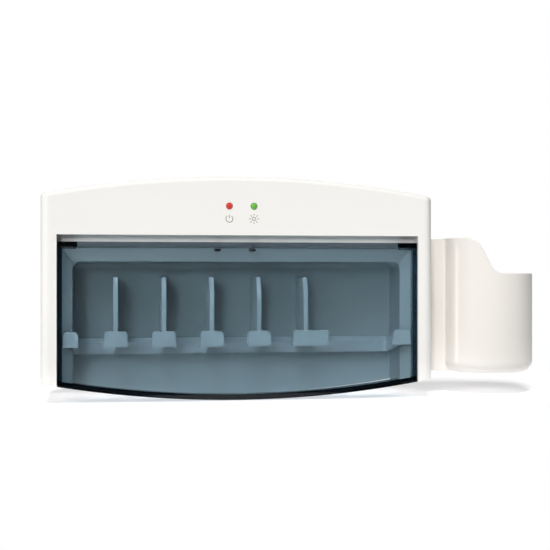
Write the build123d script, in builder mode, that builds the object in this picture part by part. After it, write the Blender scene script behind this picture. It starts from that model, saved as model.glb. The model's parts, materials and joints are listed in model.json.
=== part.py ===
"""Wall-hung toothbrush sterilizer with a flip-up smoked door and a lift-off side cup.

Millimetres. The back of the case lies on the wall plane Y = 0 and the front faces -Y.
+X runs towards the cup, +Z is up, and Z = 0 is half way up the case's straight sides.
"""

import os
from math import sqrt

from build123d import *

# Case
case_width = 290.0
case_depth = 80.0
side_height = 137.0  # the straight sides, between the two arcs
arc_rise = 13.5  # the top and bottom arcs past the ends of the sides
wall = 2.5
side_edge_radius = 6.5  # front edge down each side
top_edge_radius = 3.5
bottom_edge_radius = 1.0
plate_thickness = 2.5  # back plate
plate_inset = 0.3  # of the back plate's edge, which shows as a fine seam
cut_margin = 20.0  # by which cuts run past the case

# Door opening
pillar_width = 11.5
lintel_z = 39.0  # underside of the top band
recess_depth = 10.2  # front of the case to the wall above the door
recess_wall = 2.0
recess_wall_bottom = 30.2
pocket_depth = 16.8  # front of the case to the ledge behind the liner's rim
ledge_thickness = 2.0

# Door
door_gap = 0.4
door_top = 33.9
door_set_back = 0.8
door_sheet = 2.6
door_side_flange = 3.3
door_side_reach = 7.7
door_rim = 3.0  # thickness of the top and bottom flanges
door_top_reach = 5.4
door_bottom_reach = 21.2
door_edge_radius = 0.6
door_rim_gap = 0.3  # to the liner's rim, which the bottom flange passes between
hinge_depth = 5.5
hinge_z = 31.3
knuckle_radius = 2.6
knuckle_length = 13.2
pin_radius = 1.5
pin_length = 16.0
pin_bore_clearance = 0.05
pin_in_case = 4.1
pin_end_room = 1.0
hinge_boss_radius = 3.5
hinge_boss_length = 3.5

# Liner
liner_wall = 2.0
rim_depth = 10.5  # outer edge of the bevelled rim
bevel_drop = 4.0
rim_land = 3.5  # flat edge of the rim outside the bevel
bevel_run = 7.2
rim_top = 29.3
rim_edge_gap = 0.3
rim_top_margin = 0.5
ceiling_z = 19.7
chamber_depth = 45.0
ceiling_cove = 7.5
corner_cove = 1.5
liner_bottom_inset = 0.4
tub_side_gap = 0.4
flange_height = 34.0
flange_gap = 0.2

# Lamp window in the ceiling
window_count = 6
window_pitch = 34.0
window_length = 29.0
window_slot_width = 9.0

# Interlock switches behind the rim
switch_positions = (-17.1, 8.9)
switch_z = 28.2
plunger_width = 4.2
plunger_height = 1.5
plunger_clearance = 0.2
plunger_door_gap = 0.1
plunger_tail = 4.0
switch_width = 12.8
switch_body_height = 5.8
switch_body_depth = 6.4
switch_pocket_depth = 13.8
switch_pocket_gap = 0.2

# Brush rack
fin_count = 5
fin_pitch = 35.2
first_fin_inset = 31.2  # from the chamber's left wall
fin_thickness = 3.2
fin_top = 8.0
fin_front_depth = 8.5
fin_lean = 6.5
fin_curve_height = 17.5
fin_tip_radius = 1.2
head_front_depth = 6.5
head_thickness = 6.0
head_width = 17.6
head_top = -31.6
head_bottom = -42.8
head_taper = 0.5
end_head_taper = 2.0
head_corner = 2.5
wide_head_right_reach = 16.8  # from the last fin
wide_head_left_reach = 9.9
end_head_gap = 0.5  # to the outer edge of the liner's bevel
left_head_width = 11.2
right_head_width = 14.8
end_head_thickness = 3.2
arm_thickness = 3.4
rack_side_gap = 0.4
bar_depth = 5.5
bar_top = -38.3
bar_bottom = -50.0
bar_chamfer = 3.0
rack_inner_corner = 3.0

# Lamp
lamp_depth = 33.0
lamp_radius = 7.75
lamp_glass = 1.0  # wall of the tube
lamp_above_ceiling = 10.0
lamp_glass_half = 99.0
lamp_cap_radius = 8.0
lamp_cap_length = 7.0
lamp_pin_radius = 1.2
lamp_pin_length = 6.8
lamp_pin_spacing = 4.75
socket_gap = 0.4
socket_length = 11.0
socket_depth = 18.0
socket_height = 19.0
socket_slot = 3.0
socket_round = 2.0
pin_end_gap = 0.5
reflector_radius = 10.5
reflector_sheet = 0.6
reflector_half = 100.0

# Control board, behind the top band
board_width = 110.0
board_height = 27.0
board_x = 5.0
board_z = 60.5
board_thickness = 1.6
board_depth = 7.8
board_hole_inset = 5.0
board_boss_radius = 3.0
led_positions = (-9.1, 9.1)
led_z = 60.3
led_radius = 2.5
led_hole_clearance = 0.1
led_flange_radius = 2.9
led_flange_thickness = 1.0
led_proud = 1.2
coil_size = (20.0, 16.0, 16.0)
coil_inset = 22.0  # from the board's edge to the coil's middle
coil_chamfer = 2.0
capacitor_radius = 4.0
capacitor_length = 14.0
capacitor_count = 3
capacitor_pitch = 11.0
capacitor_inset = 10.0  # from the board's other edge

# Inlet jack in the left side
jack_z = -44.0
jack_from_wall = 16.0
jack_length = 14.0
jack_width = 9.0
jack_height = 11.0
jack_nose_radius = 3.9
jack_hole_clearance = 0.2
jack_bore_radius = 3.15
jack_bore_depth = 10.5
jack_pin_radius = 1.0

# Wires
wire_radius = 0.9
wire_sides = 6
wire_bend = 6.0
wire_short_bend = 3.0
wire_gap = 3.0  # between two wires side by side
supply_run = 10.0  # from the inlet inwards before the wires turn up
socket_run = 8.0
socket_wire_z = 30.0
socket_wire_spread = 8.0
socket_board_rise = 5.0
board_edge_gap = 2.0
switch_wire_z = 49.6
switch_wire_spread = 6.0

# Screws
screw_radius = 1.45
pilot_clearance = 0.05
screw_head_radius = 2.75
screw_head_height = 2.0
screw_tip_gap = 0.5
case_screw_length = 14.0
case_boss_radius = 3.5
case_boss_length = 22.0
boss_wall_overlap = 0.5
side_boss_z = 58.0
head_recess = 1.5
screw_hole_clearance = 0.25
board_screw_length = 4.5
board_screw_radius = 1.1
board_screw_head = 2.2
ledge_head_height = 1.5
rack_screw_inset = 27.0
rack_screw_length = 6.5
liner_screw_inset = 3.3
liner_screw_z = (-50.0, 12.0)
liner_pilot_depth = 4.5

# Back plate
keyhole_x = 85.0
keyhole_z = 46.0
keyhole_head_radius = 4.5
keyhole_slot_radius = 2.3
keyhole_rise = 9.0
vent_count = 9
vent_pitch = 6.0
vent_width = 2.4
vent_height = 16.0
vent_z = 60.0
lip_gap = 0.25
lip_thickness = 1.5
lip_height = 3.0
post_radius = 4.0
post_x = 70.0
post_z = (0.0, -30.0)
post_gap = 0.2

# Cup and its rail
cup_offset = 56.3  # side of the case to the cup's axis
cup_depth = 40.0  # front of the case to the cup's axis
cup_radius = 35.2
cup_wall = 2.5
cup_floor = 3.0
cup_bottom = -66.0
cup_bottom_radius = 9.0
rim_high = 38.8
rim_low = 11.2
rim_slope_top = -18.5  # from the cup's axis
rim_slope_foot = -5.2
rim_upper_curve = 14.0
rim_lower_curve = 10.0
rim_rounding = 0.8
rim_margin = 1.0  # by which the rim's cut runs past the cup
neck_width = 32.0
neck_front_depth = 38.0
neck_top = 38.0
neck_foot_rise = 0.6  # of the neck's foot above the cup's
neck_wall = 2.5
neck_fillet = 2.0
cup_side_gap = 0.6
rail_plate = 2.0
rail_plate_width = 24.0
rail_height = 4.0
rail_root = 11.0
rail_tip = 17.0
rail_bottom = -40.0
rail_top = 20.0
rail_clearance = 0.3
rail_screw_z = (-25.0, 5.0)
rail_screw_length = 6.0

# Places that follow from the sizes above
half_width = case_width / 2
half_side = side_height / 2
arc_radius = (half_width**2 + arc_rise**2) / (2 * arc_rise)
arc_centre_z = half_side + arc_rise - arc_radius
shell_depth = case_depth - plate_thickness
below_case = -(half_side + arc_rise) - cut_margin
opening_half = half_width - pillar_width
rim_half = opening_half - rim_land
chamber_half = rim_half - bevel_run
liner_screw_x = opening_half - liner_screw_inset
end_head_outer = rim_half - end_head_gap
rack_screw_x = chamber_half - rack_screw_inset
cup_x = half_width + cup_offset
cup_inner_radius = cup_bottom_radius - cup_wall
neck_bottom = cup_bottom + neck_foot_rise
bevel_depth = rim_depth + bevel_drop
liner_back = chamber_depth + liner_wall
ceiling_top = ceiling_z + liner_wall
lamp_z = ceiling_top + lamp_above_ceiling
rail_y = neck_front_depth + neck_width / 2 - case_depth
tub_half = chamber_half + liner_wall + tub_side_gap
liner_screw_places = [(side * liner_screw_x, z) for side in (-1, 1) for z in liner_screw_z]
fin_positions = [-chamber_half + first_fin_inset + fin_pitch * i for i in range(fin_count)]
rack_screw_places = [(x, (bar_top + bar_bottom) / 2) for x in (-rack_screw_x, 0, rack_screw_x)]
pilot_radius = screw_radius + pilot_clearance


def arc_z(x, inset=0.0):
    """Height of the case's top arc at x, moved inwards by inset. The bottom arc mirrors it."""
    return arc_centre_z + sqrt((arc_radius - inset) ** 2 - x**2)


def depth_plane(depth):
    """Upright plane at a depth behind the front of the case, facing the viewer."""
    return Plane.XZ.offset(case_depth - depth)


def box_between(low, high, mode=Mode.ADD):
    """Box from one corner to the opposite one, in the part being built."""
    size = [b - a for a, b in zip(low, high)]
    middle = Vector(*[(a + b) / 2 for a, b in zip(low, high)])
    with Locations(middle):
        Box(*size, mode=mode)


def outline(inset=0.0, top_radius=0.0, bottom_radius=0.0):
    """Face of the case's front outline, moved inwards by inset."""
    side = half_width - inset
    corner = arc_z(side, inset)
    crown = arc_z(0, inset)
    with BuildSketch() as face:
        with BuildLine():
            Line((-side, -corner), (-side, corner))
            ThreePointArc((-side, corner), (0, crown), (side, corner))
            Line((side, corner), (side, -corner))
            ThreePointArc((side, -corner), (0, -crown), (-side, -corner))
        make_face()
        if top_radius:
            fillet(face.vertices().group_by(Axis.Y)[-1], top_radius)
        if bottom_radius:
            fillet(face.vertices().group_by(Axis.Y)[0], bottom_radius)
    return face.sketch


def arched_panel(half, top, inset):
    """Face with straight sides and top whose foot follows the case's bottom arc."""
    foot = -arc_z(half, inset)
    with BuildSketch() as face:
        with BuildLine():
            Line((-half, foot), (-half, top))
            Line((-half, top), (half, top))
            Line((half, top), (half, foot))
            ThreePointArc((half, foot), (0, -arc_z(0, inset)), (-half, foot))
        make_face()
    return face.sketch


def case_block(inset, side_radius, top_radius, bottom_radius):
    """Solid block of the case's form, open to be used as a skin or as its cavity."""
    with BuildPart() as block:
        with BuildSketch(Plane.XZ.offset(plate_thickness)):
            add(outline(inset))
        extrude(amount=shell_depth - inset)
        front_sides = block.edges().filter_by(Axis.Z).group_by(Axis.Y)[0]
        fillet(front_sides, side_radius)
        top_edges = block.faces().sort_by(Axis.Z)[-1].edges()
        rear_y = -plate_thickness
        fillet([e for e in top_edges if e.center().Y < 2 * rear_y], top_radius)
        if bottom_radius:
            bottom_edges = block.faces().sort_by(Axis.Z)[0].edges()
            fillet([e for e in bottom_edges if e.center().Y < 2 * rear_y], bottom_radius)
    return block.part


def pan_screws(plane, places, length, head_height, radius=screw_radius, head_radius=screw_head_radius):
    """Screws at places on a plane: shanks along its normal, heads behind it."""
    with BuildPart() as screws:
        with BuildSketch(plane):
            with Locations(*places):
                Circle(radius)
        extrude(amount=length)
        with BuildSketch(plane):
            with Locations(*places):
                Circle(head_radius)
        extrude(amount=-head_height)
    return screws.part


os.makedirs("parts", exist_ok=True)

# Screw places on the back of the case, as X and Z
side_boss_x = half_width - wall - case_boss_radius + boss_wall_overlap
crown_boss_z = arc_z(0, wall) - case_boss_radius + boss_wall_overlap
case_screw_places = [
    (-side_boss_x, side_boss_z),
    (side_boss_x, side_boss_z),
    (-side_boss_x, -side_boss_z),
    (side_boss_x, -side_boss_z),
    (0, crown_boss_z),
    (0, -crown_boss_z),
]
board_hole_x = board_width / 2 - board_hole_inset
board_hole_z = board_height / 2 - board_hole_inset
board_hole_places = [
    (board_x + sx * board_hole_x, board_z + sz * board_hole_z) for sx in (-1, 1) for sz in (-1, 1)
]

# Front housing: one moulded shell with the top band, two pillars and a closed rear bottom
with BuildPart() as front_housing:
    add(case_block(0.0, side_edge_radius, top_edge_radius, bottom_edge_radius))
    add(case_block(wall, side_edge_radius - wall, top_edge_radius - wall, 0.0), mode=Mode.SUBTRACT)
    # Pillar inner walls, the underside of the top band and the wall above the door
    with BuildSketch(depth_plane(0)):
        add(arched_panel(opening_half + wall, lintel_z + wall, 0))
        with Locations((0, (lintel_z + below_case) / 2)):
            Rectangle(2 * opening_half, lintel_z - below_case, mode=Mode.SUBTRACT)
    extrude(amount=-(recess_depth + recess_wall))
    with BuildSketch(depth_plane(recess_depth + recess_wall)):
        add(arched_panel(opening_half + wall, recess_wall_bottom, 0))
        with Locations((0, (lintel_z + below_case) / 2)):
            Rectangle(2 * opening_half, lintel_z - below_case, mode=Mode.SUBTRACT)
    extrude(amount=-(pocket_depth - recess_depth))
    # Door opening through the front, then the way out for the handles behind it
    box_between(
        (-opening_half, -case_depth, below_case),
        (opening_half, pocket_depth - case_depth, lintel_z),
        mode=Mode.SUBTRACT,
    )
    box_between(
        (-tub_half, pocket_depth - case_depth, below_case),
        (tub_half, liner_back + post_gap - case_depth, bar_bottom),
        mode=Mode.SUBTRACT,
    )
    box_between(
        (-opening_half - wall, recess_depth - case_depth, recess_wall_bottom),
        (opening_half + wall, recess_depth + recess_wall - case_depth, lintel_z + wall),
    )
    # Ledges behind the liner's rim, one beside each pillar
    with BuildSketch(depth_plane(pocket_depth)):
        add(arched_panel(opening_half + wall, recess_wall_bottom, 0))
        with Locations((0, (lintel_z + below_case) / 2)):
            Rectangle(2 * tub_half, lintel_z - below_case, mode=Mode.SUBTRACT)
        with Locations(*liner_screw_places):
            Circle(board_screw_radius + screw_hole_clearance, mode=Mode.SUBTRACT)
    extrude(amount=-ledge_thickness)
    # Bosses for the back plate's screws
    with BuildSketch(Plane.XZ.offset(plate_thickness)):
        with Locations(*case_screw_places):
            Circle(case_boss_radius)
    extrude(amount=case_boss_length)
    # Bosses for the board behind the top band
    with BuildSketch(depth_plane(wall)):
        with Locations(*board_hole_places):
            Circle(board_boss_radius)
    extrude(amount=-(board_depth - wall))
    # Bosses for the hinge pins inside the pillars
    for side in (-1, 1):
        with BuildSketch(Plane.YZ.offset(side * (opening_half + wall))):
            with Locations((hinge_depth - case_depth, hinge_z)):
                Circle(hinge_boss_radius)
        extrude(amount=side * hinge_boss_length)
    # Holes
    with BuildSketch(Plane.XZ.offset(plate_thickness)):
        with Locations(*case_screw_places):
            Circle(pilot_radius)
    extrude(amount=case_screw_length, mode=Mode.SUBTRACT)
    with BuildSketch(depth_plane(board_depth)):
        with Locations(*board_hole_places):
            Circle(board_screw_radius + pilot_clearance)
    extrude(amount=board_screw_length, mode=Mode.SUBTRACT)
    with BuildSketch(depth_plane(0)):
        with Locations(*[(x, led_z) for x in led_positions]):
            Circle(led_radius + led_hole_clearance)
    extrude(amount=-wall, mode=Mode.SUBTRACT)
    for side in (-1, 1):
        with BuildSketch(Plane.YZ.offset(side * opening_half)):
            with Locations((hinge_depth - case_depth, hinge_z)):
                Circle(pin_radius + pin_bore_clearance)
        extrude(amount=side * (pin_in_case + pin_end_room), mode=Mode.SUBTRACT)
    with BuildSketch(Plane.YZ.offset(-half_width)):
        with Locations((-jack_from_wall, jack_z)):
            Circle(jack_nose_radius + jack_hole_clearance)
    extrude(amount=wall, mode=Mode.SUBTRACT)
    with BuildSketch(Plane.YZ.offset(half_width)):
        with Locations(*[(rail_y, z) for z in rail_screw_z]):
            Circle(screw_radius + screw_hole_clearance)
    extrude(amount=-wall, mode=Mode.SUBTRACT)
front_housing.part.label = "front_housing"
export_step(front_housing.part, "parts/front_housing.step")

# Back plate: locating lip, keyholes for the wall screws, vents and posts that hold the liner
with BuildPart() as back_plate:
    with BuildSketch(Plane.XZ):
        add(outline(plate_inset, top_edge_radius, bottom_edge_radius))
    extrude(amount=plate_thickness)
    with BuildSketch(Plane.XZ.offset(plate_thickness)):
        add(outline(wall + lip_gap))
        add(outline(wall + lip_gap + lip_thickness), mode=Mode.SUBTRACT)
        with Locations(*case_screw_places):
            Circle(case_boss_radius + lip_gap, mode=Mode.SUBTRACT)
    extrude(amount=lip_height)
    with BuildSketch(Plane.XZ.offset(plate_thickness)):
        with Locations(*[(side * post_x, z) for side in (-1, 1) for z in post_z]):
            Circle(post_radius)
    extrude(amount=shell_depth - liner_back - post_gap)
    # Screw holes, with the heads let in from behind
    with BuildSketch(Plane.XZ):
        with Locations(*case_screw_places):
            Circle(screw_radius + screw_hole_clearance)
    extrude(amount=plate_thickness, mode=Mode.SUBTRACT)
    with BuildSketch(Plane.XZ):
        with Locations(*case_screw_places):
            Circle(screw_head_radius + screw_hole_clearance)
    extrude(amount=head_recess, mode=Mode.SUBTRACT)
    # Keyholes: the head goes in below and slides up the slot
    with BuildSketch(Plane.XZ):
        with Locations((-keyhole_x, keyhole_z), (keyhole_x, keyhole_z)):
            Circle(keyhole_head_radius)
        for side in (-1, 1):
            with Locations((side * keyhole_x, keyhole_z + keyhole_rise / 2)):
                SlotCenterToCenter(keyhole_rise, 2 * keyhole_slot_radius, rotation=90)
    extrude(amount=plate_thickness, mode=Mode.SUBTRACT)
    with BuildSketch(Plane.XZ):
        with Locations((0, vent_z)):
            with GridLocations(vent_pitch, vent_pitch, vent_count, 1):
                SlotOverall(vent_height, vent_width, rotation=90)
    extrude(amount=plate_thickness, mode=Mode.SUBTRACT)
back_plate.part.label = "back_plate"
export_step(back_plate.part, "parts/back_plate.step")

# Liner cavity, with coves where the ceiling and the sides meet the back wall
with BuildPart() as chamber:
    box_between(
        (-chamber_half, bevel_depth - case_depth, below_case),
        (chamber_half, chamber_depth - case_depth, ceiling_z),
    )
    rear_edges = chamber.edges().group_by(Axis.Y)[-1]
    fillet(rear_edges.filter_by(Axis.Z), corner_cove)
    back_face = chamber.faces().sort_by(Axis.Y)[-1]
    fillet(back_face.edges().filter_by(Axis.X).sort_by(Axis.Z)[-1], ceiling_cove - corner_cove)

# Inner liner: bevelled rim, tub and lamp window, open in front and below
with BuildPart() as inner_liner:
    with BuildSketch(depth_plane(rim_depth)):
        add(arched_panel(opening_half - rim_edge_gap, rim_top + rim_top_margin, liner_bottom_inset))
    extrude(amount=-(pocket_depth - rim_edge_gap - rim_depth))
    with BuildSketch(depth_plane(pocket_depth - rim_edge_gap)):
        add(arched_panel(chamber_half + liner_wall, ceiling_top, liner_bottom_inset))
    extrude(amount=-(liner_back - pocket_depth + rim_edge_gap))
    # Flange behind the wall above the door
    box_between(
        (-chamber_half, recess_depth + recess_wall + flange_gap - case_depth, rim_top),
        (chamber_half, recess_depth + recess_wall + flange_gap + liner_wall - case_depth, flange_height),
    )
    with BuildSketch(depth_plane(rim_depth)):
        with Locations((0, (rim_top + below_case) / 2)):
            Rectangle(2 * rim_half, rim_top - below_case)
    with BuildSketch(depth_plane(bevel_depth)):
        with Locations((0, (ceiling_z + below_case) / 2)):
            Rectangle(2 * chamber_half, ceiling_z - below_case)
    loft(mode=Mode.SUBTRACT)
    add(chamber.part, mode=Mode.SUBTRACT)
    # Lamp window
    with BuildSketch(Plane.XY.offset(ceiling_top)):
        with Locations((0, lamp_depth - case_depth)):
            with GridLocations(window_pitch, window_slot_width, window_count, 1):
                SlotOverall(window_length, window_slot_width)
    extrude(amount=-liner_wall, mode=Mode.SUBTRACT)
    # Slots and pockets of the interlock switches
    with BuildSketch(depth_plane(rim_depth)):
        with Locations(*[(x, switch_z) for x in switch_positions]):
            SlotOverall(plunger_width + 2 * plunger_clearance, plunger_height + 2 * plunger_clearance)
    extrude(amount=-(pocket_depth - rim_depth), mode=Mode.SUBTRACT)
    with BuildSketch(depth_plane(switch_pocket_depth)):
        with Locations(*[(x, switch_z) for x in switch_positions]):
            Rectangle(switch_width + 2 * switch_pocket_gap, switch_body_height + 2 * switch_pocket_gap)
    extrude(amount=-(pocket_depth - switch_pocket_depth), mode=Mode.SUBTRACT)
    # Screw holes for the rack
    with BuildSketch(depth_plane(chamber_depth)):
        with Locations(*rack_screw_places):
            Circle(screw_radius + screw_hole_clearance)
    extrude(amount=-liner_wall, mode=Mode.SUBTRACT)
    with BuildSketch(depth_plane(pocket_depth - rim_edge_gap)):
        with Locations(*liner_screw_places):
            Circle(board_screw_radius + pilot_clearance)
    extrude(amount=liner_pilot_depth, mode=Mode.SUBTRACT)
inner_liner.part.label = "inner_liner"
export_step(inner_liner.part, "parts/inner_liner.step")


def head_face(left, right, left_taper, right_taper):
    """Front face of one rounded block of the rack, between two X places."""
    with BuildSketch() as face:
        with BuildLine():
            Polyline(
                (left, head_bottom),
                (left + left_taper, head_top),
                (right - right_taper, head_top),
                (right, head_bottom),
                close=True,
            )
        make_face()
        upper = face.vertices().group_by(Axis.Y)[-1].sort_by(Axis.X)
        fillet(upper if right_taper else upper[0], head_corner)
    return face.sketch


# Brush rack: a rear bar, five fins with retaining heads, and an arm with a head at each end
with BuildPart() as brush_rack:
    rack_half = chamber_half - rack_side_gap
    bar_front = chamber_depth - bar_depth
    box_between(
        (-rack_half, bar_front - case_depth, bar_bottom), (rack_half, chamber_depth - case_depth, bar_top)
    )
    fillet(brush_rack.edges().filter_by(Axis.Z).group_by(Axis.Y)[-1], corner_cove)
    top_front = brush_rack.edges().filter_by(Axis.X).group_by(Axis.Z)[-1].sort_by(Axis.Y)[0]
    chamfer(top_front, bar_chamfer)
    for x in fin_positions:
        with BuildSketch(Plane.YZ.offset(x)) as fin:
            front_y = fin_front_depth - case_depth
            rear_y = chamber_depth - case_depth
            with BuildLine():
                Line((rear_y, head_bottom), (rear_y, fin_top))
                Line((rear_y, fin_top), (front_y + fin_lean, fin_top))
                Spline(
                    (front_y + fin_lean, fin_top),
                    (front_y, fin_top - fin_curve_height),
                    tangents=[(-0.8, -1), (0, -1)],
                )
                Line((front_y, fin_top - fin_curve_height), (front_y, head_bottom))
                Line((front_y, head_bottom), (rear_y, head_bottom))
            make_face()
            tip = fin.vertices().group_by(Axis.Y)[-1].sort_by(Axis.X)[0]
            fillet(tip, fin_tip_radius)
        extrude(amount=fin_thickness / 2, both=True)
    with BuildSketch(depth_plane(head_front_depth)):
        for x in fin_positions[:-1]:
            add(head_face(x - head_width / 2, x + head_width / 2, head_taper, head_taper))
        last = fin_positions[-1]
        add(head_face(last - wide_head_left_reach, last + wide_head_right_reach, head_taper, 0))
    extrude(amount=-head_thickness)
    with BuildSketch(depth_plane(head_front_depth)):
        add(head_face(-end_head_outer, left_head_width - end_head_outer, head_taper, head_taper))
        add(head_face(end_head_outer - right_head_width, end_head_outer, end_head_taper, head_taper))
    extrude(amount=-end_head_thickness)
    # Arms along the liner's sides, from the bar forward to the end heads
    for side in (-1, 1):
        with BuildSketch(Plane.YZ.offset(side * rack_half)):
            with BuildLine():
                Polyline(
                    (bar_front - case_depth, bar_bottom),
                    (head_front_depth - case_depth, head_bottom),
                    (head_front_depth - case_depth, head_top - head_corner),
                    (bar_front - case_depth, bar_top),
                    close=True,
                )
            make_face()
        extrude(amount=-side * arm_thickness)
    for side in (-1, 1):
        corner = Vector(side * (rack_half - arm_thickness), bar_front - case_depth, bar_bottom)
        upright = brush_rack.edges().filter_by(Axis.Z)
        fillet(upright.sort_by_distance(corner)[0], rack_inner_corner)
    with BuildSketch(depth_plane(chamber_depth)):
        with Locations(*rack_screw_places):
            Circle(pilot_radius)
    extrude(amount=rack_screw_length - liner_wall, mode=Mode.SUBTRACT)
brush_rack.part.label = "brush_rack"
export_step(brush_rack.part, "parts/brush_rack.step")

# Door: a smoked sheet with flanges all round and a hinge knuckle in each top corner
door_half = opening_half - door_gap
door_back = door_set_back + door_sheet
with BuildPart() as door:
    with BuildSketch(depth_plane(door_set_back)):
        add(arched_panel(door_half, door_top, 0))
    extrude(amount=-door_sheet)
    with BuildSketch(depth_plane(door_set_back)) as side_flanges:
        add(arched_panel(door_half, door_top, 0))
        with Locations((0, (door_top + below_case) / 2)):
            Rectangle(2 * (door_half - door_side_flange), door_top - below_case, mode=Mode.SUBTRACT)
    extrude(amount=-door_side_reach)
    with BuildSketch(depth_plane(door_set_back)):
        with Locations((0, door_top - door_rim / 2)):
            Rectangle(2 * door_half, door_rim)
    extrude(amount=-door_top_reach)
    with BuildSketch(depth_plane(door_set_back)):
        add(arched_panel(door_half, 0, 0))
        add(arched_panel(door_half, 0, door_rim), mode=Mode.SUBTRACT)
    extrude(amount=-(rim_depth - door_rim_gap - door_set_back))
    door_foot_half = chamber_half - door_rim_gap
    with BuildSketch(depth_plane(door_set_back)):
        add(arched_panel(door_foot_half, 0, 0))
        add(arched_panel(door_foot_half, 0, door_rim), mode=Mode.SUBTRACT)
    extrude(amount=-door_bottom_reach)
    fillet(door.faces().sort_by(Axis.Y)[0].edges(), door_edge_radius)
    for side in (-1, 1):
        with BuildSketch(Plane.YZ.offset(side * door_half)):
            with Locations((hinge_depth - case_depth, hinge_z)):
                Circle(knuckle_radius)
        extrude(amount=-side * knuckle_length)
    for side in (-1, 1):
        with BuildSketch(Plane.YZ.offset(side * door_half)):
            with Locations((hinge_depth - case_depth, hinge_z)):
                Circle(pin_radius)
        extrude(amount=-side * (pin_length - pin_in_case), mode=Mode.SUBTRACT)
door.part.label = "door"
export_step(door.part, "parts/door.step")

# Hinge pins, pressed into the door and turning in the pillars
for side, name in ((-1, "hinge_pin_left"), (1, "hinge_pin_right")):
    with BuildPart() as hinge_pin:
        with BuildSketch(Plane.YZ.offset(side * (opening_half + pin_in_case))):
            with Locations((hinge_depth - case_depth, hinge_z)):
                Circle(pin_radius)
        extrude(amount=-side * (pin_length - door_gap))
    hinge_pin.part.label = name
    export_step(hinge_pin.part, f"parts/{name}.step")

# Interlock switches behind the rim, and the plungers that the closed door holds in
for x, side_name in zip(switch_positions, ("left", "right")):
    with BuildPart() as door_switch:
        with BuildSketch(depth_plane(switch_pocket_depth)):
            with Locations((x, switch_z)):
                Rectangle(switch_width, switch_body_height)
                cavity_width = plunger_width + 2 * plunger_clearance
                SlotOverall(cavity_width, plunger_height + 2 * plunger_clearance, mode=Mode.SUBTRACT)
        extrude(amount=-switch_body_depth)
    door_switch.part.label = f"door_switch_{side_name}"
    export_step(door_switch.part, f"parts/door_switch_{side_name}.step")

    with BuildPart() as switch_plunger:
        with BuildSketch(depth_plane(door_back + plunger_door_gap)):
            with Locations((x, switch_z)):
                SlotOverall(plunger_width, plunger_height)
        extrude(amount=-(switch_pocket_depth + plunger_tail - door_back - plunger_door_gap))
    switch_plunger.part.label = f"switch_plunger_{side_name}"
    export_step(switch_plunger.part, f"parts/switch_plunger_{side_name}.step")

# Germicidal lamp: glass tube, and an end cap with two contact pins at each end
lamp_y = lamp_depth - case_depth
with BuildPart() as lamp_tube:
    with BuildSketch(Plane.YZ.offset(-lamp_glass_half)):
        with Locations((lamp_y, lamp_z)):
            Circle(lamp_radius)
            Circle(lamp_radius - lamp_glass, mode=Mode.SUBTRACT)
    extrude(amount=2 * lamp_glass_half)
lamp_tube.part.label = "lamp_tube"
export_step(lamp_tube.part, "parts/lamp_tube.step")

for side, side_name in ((-1, "left"), (1, "right")):
    cap_plane = Plane.YZ.offset(side * lamp_glass_half)
    with BuildPart() as lamp_cap:
        with BuildSketch(cap_plane):
            with Locations((lamp_y, lamp_z)):
                Circle(lamp_cap_radius)
        extrude(amount=side * lamp_cap_length)
        with BuildSketch(cap_plane.offset(side * lamp_cap_length)):
            with Locations((lamp_y, lamp_z - lamp_pin_spacing / 2), (lamp_y, lamp_z + lamp_pin_spacing / 2)):
                Circle(lamp_pin_radius)
        extrude(amount=side * lamp_pin_length)
    lamp_cap.part.label = f"lamp_cap_{side_name}"
    export_step(lamp_cap.part, f"parts/lamp_cap_{side_name}.step")

    socket_face = lamp_glass_half + lamp_cap_length + socket_gap
    with BuildPart() as lamp_socket:
        near = side * socket_face
        far = side * (socket_face + socket_length)
        box_between(
            (min(near, far), lamp_y - socket_depth / 2, ceiling_top),
            (max(near, far), lamp_y + socket_depth / 2, ceiling_top + socket_height),
        )
        fillet(lamp_socket.edges().filter_by(Axis.X).group_by(Axis.Z)[-1], socket_round)
        # The lamp's pins drop in through a slot from above
        slot_far = side * (socket_face + lamp_pin_length + pin_end_gap)
        slot_low = lamp_z - lamp_pin_spacing / 2 - socket_slot / 2
        box_between(
            (min(near, slot_far), lamp_y - socket_slot / 2, slot_low),
            (max(near, slot_far), lamp_y + socket_slot / 2, ceiling_top + socket_height),
            mode=Mode.SUBTRACT,
        )
    lamp_socket.part.label = f"lamp_socket_{side_name}"
    export_step(lamp_socket.part, f"parts/lamp_socket_{side_name}.step")

# Reflector: a bright trough over the lamp, standing on the ceiling
with BuildPart() as lamp_reflector:
    with BuildSketch(Plane.YZ.offset(-reflector_half)):
        with Locations((lamp_y, lamp_z)):
            Circle(reflector_radius + reflector_sheet)
        outer_width = 2 * (reflector_radius + reflector_sheet)
        with Locations((lamp_y, (lamp_z + ceiling_top) / 2)):
            Rectangle(outer_width, lamp_z - ceiling_top)
        with Locations((lamp_y, lamp_z)):
            Circle(reflector_radius, mode=Mode.SUBTRACT)
        with Locations((lamp_y, (lamp_z + ceiling_top) / 2)):
            Rectangle(2 * reflector_radius, lamp_z - ceiling_top, mode=Mode.SUBTRACT)
        with Locations((lamp_y, ceiling_top - reflector_radius)):
            Rectangle(2 * outer_width, 2 * reflector_radius, mode=Mode.SUBTRACT)
    extrude(amount=2 * reflector_half)
lamp_reflector.part.label = "lamp_reflector"
export_step(lamp_reflector.part, "parts/lamp_reflector.step")

# Control board and what it carries
board_back = board_depth + board_thickness
with BuildPart() as control_board:
    with BuildSketch(depth_plane(board_depth)):
        with Locations((board_x, board_z)):
            Rectangle(board_width, board_height)
        with Locations(*board_hole_places):
            Circle(board_screw_radius + screw_hole_clearance, mode=Mode.SUBTRACT)
    extrude(amount=-board_thickness)
control_board.part.label = "control_board"
export_step(control_board.part, "parts/control_board.step")

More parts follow.
